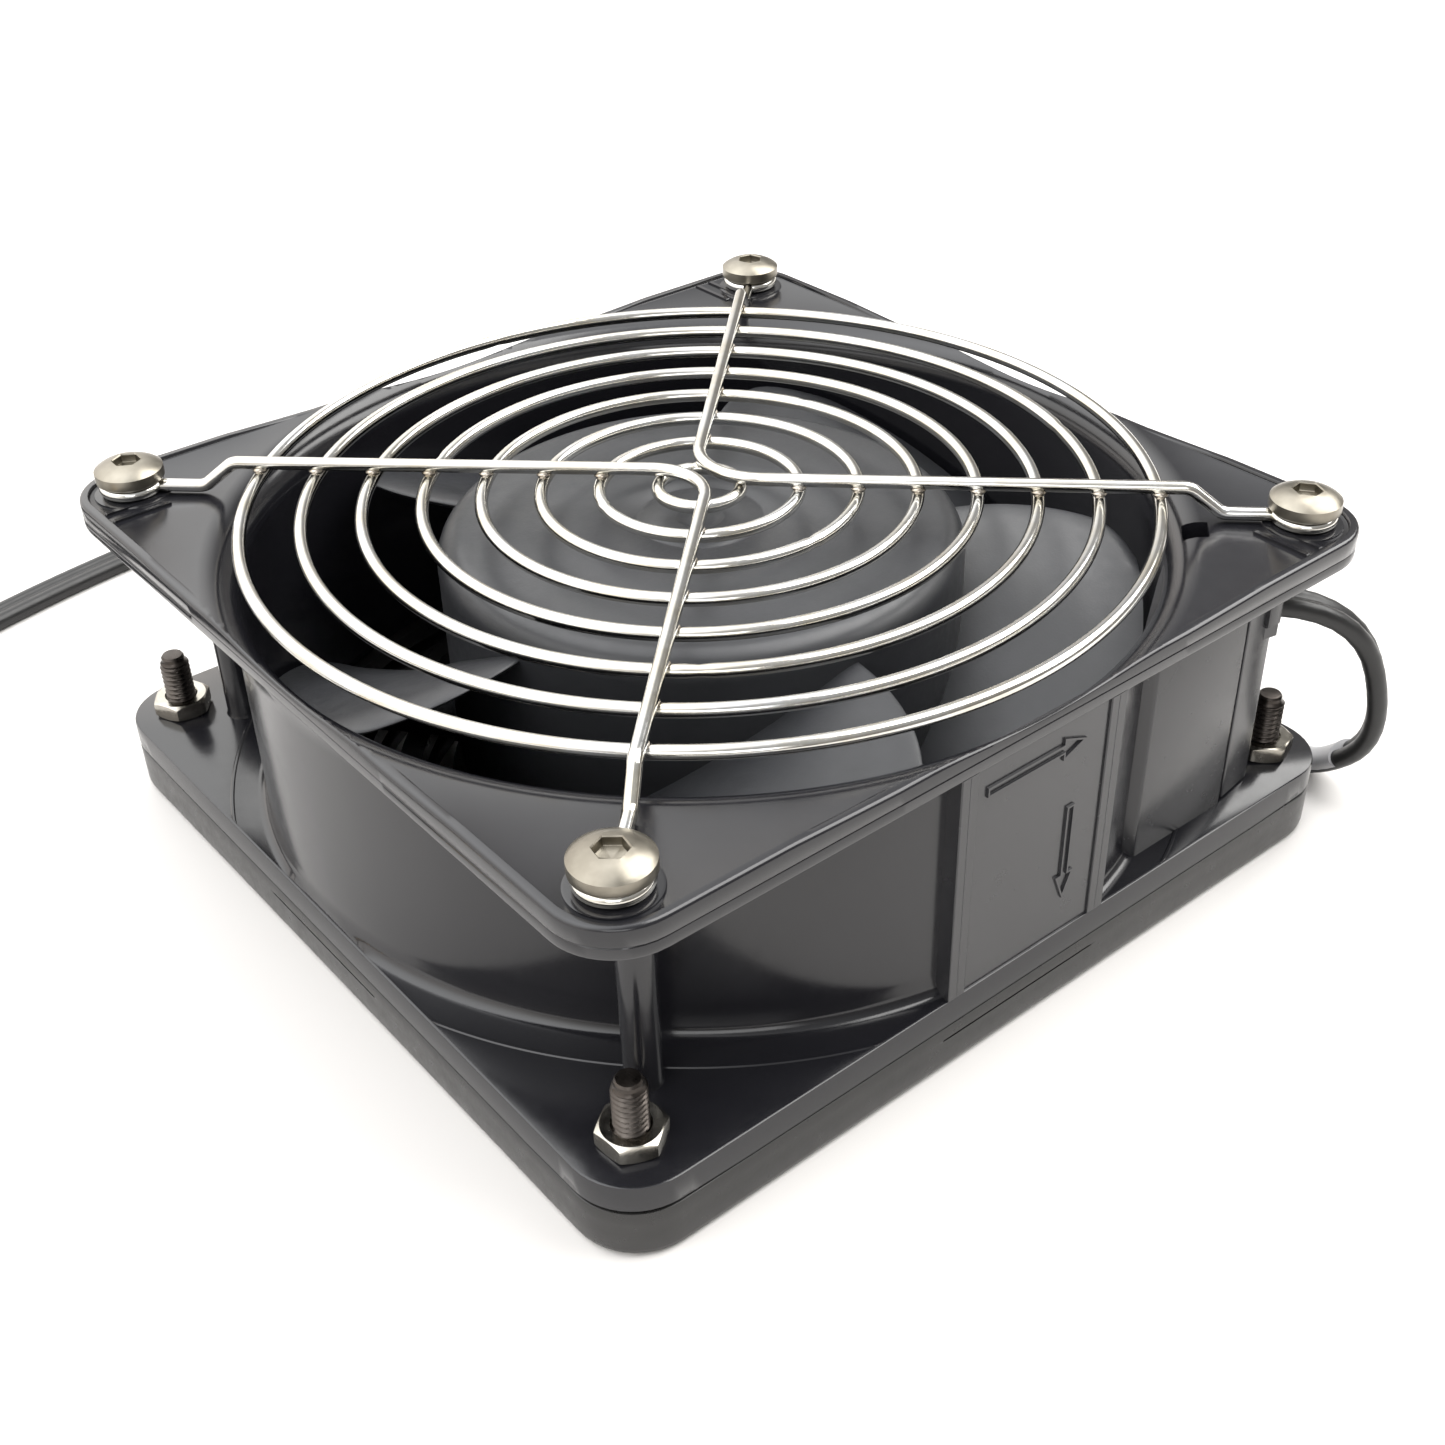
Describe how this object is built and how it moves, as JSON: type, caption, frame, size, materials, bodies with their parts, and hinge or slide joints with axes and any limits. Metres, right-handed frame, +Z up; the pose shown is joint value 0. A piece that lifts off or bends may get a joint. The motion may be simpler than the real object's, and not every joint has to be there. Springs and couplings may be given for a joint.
{
  "type": "case fan",
  "caption": "Square axial case fan with chromed wire finger guard, clip-on grid unit below, black impeller and a mains lead with plug.",
  "frame": {"origin": "on the fan axis, on the floor under the clip-on grid unit", "axes": "+Z up along the fan axis towards the wire guard; -Y is the side with the two arrows"},
  "size_m": [0.211, 0.2359, 0.05],
  "materials": {
    "housing_plastic": "smooth moulded black, light gloss",
    "inner_plastic": "natural moulded insulation",
    "impeller_plastic": "moulded charcoal, fine grain",
    "tray_plastic": "moulded black, satin",
    "brass_turned": "turned or stamped",
    "bearing_steel": "ground",
    "core_steel": "stamped sheets",
    "cage_aluminium": "cast",
    "disc_aluminium": "satin sheet",
    "copper_wire": "enamelled copper winding",
    "nickel_steel": "nickel plated",
    "black_steel": "black oxide",
    "guard_chrome": "bright chrome plated wire",
    "cord_jacket": "soft black jacket",
    "plug_plastic": "soft moulded black",
    "sleeve_plastic": "thin milky sleeve"
  },
  "bodies": {
    "frame": {"bearing_balls": "bearing_steel", "bearing_outer_rings": "bearing_steel", "bearing_tube": "brass_turned", "blank_disc": "disc_aluminium", "coil_bobbins": "inner_plastic", "coil_tie": "cord_jacket", "cord_coil": "cord_jacket", "cord_sleeve": "sleeve_plastic", "cord_tail": "cord_jacket", "fan_housing": "housing_plastic", "guard_nuts": "nickel_steel", "guard_plate": "tray_plastic", "guard_ring_1": "guard_chrome", "guard_ring_2": "guard_chrome", "guard_ring_3": "guard_chrome", "guard_ring_4": "guard_chrome", "guard_ring_5": "guard_chrome", "guard_ring_6": "guard_chrome", "guard_ring_7": "guard_chrome", "guard_ring_8": "guard_chrome", "guard_screws": "nickel_steel", "guard_wire_left": "guard_chrome", "guard_wire_right": "guard_chrome", "inner_leads": "cord_jacket", "mount_bolts": "black_steel", "mount_nuts": "nickel_steel", "plug_body": "plug_plastic", "plug_pins": "brass_turned", "power_cord": "cord_jacket", "shading_bars": "copper_wire", "snap_tray": "tray_plastic", "stator_coils": "copper_wire", "stator_laminations": "core_steel", "strain_relief": "cord_jacket", "terminal_block": "inner_plastic", "terminal_cover": "housing_plastic", "terminal_tabs": "brass_turned"},
    "rotor": {"bearing_inner_rings": "bearing_steel", "shaft": "bearing_steel", "retaining_clip": "bearing_steel", "thrust_washer": "inner_plastic", "shaft_bushing": "brass_turned", "preload_washer": "bearing_steel", "rotor_laminations": "core_steel", "rotor_cage": "cage_aluminium", "impeller": "impeller_plastic"}
  },
  "joints": [
    {"name": "rotor_spin", "type": "hinge", "parent": "frame", "child": "rotor", "pos_m": [0, 0, 0], "axis": [0, 0, 1], "continuous": true}
  ]
}
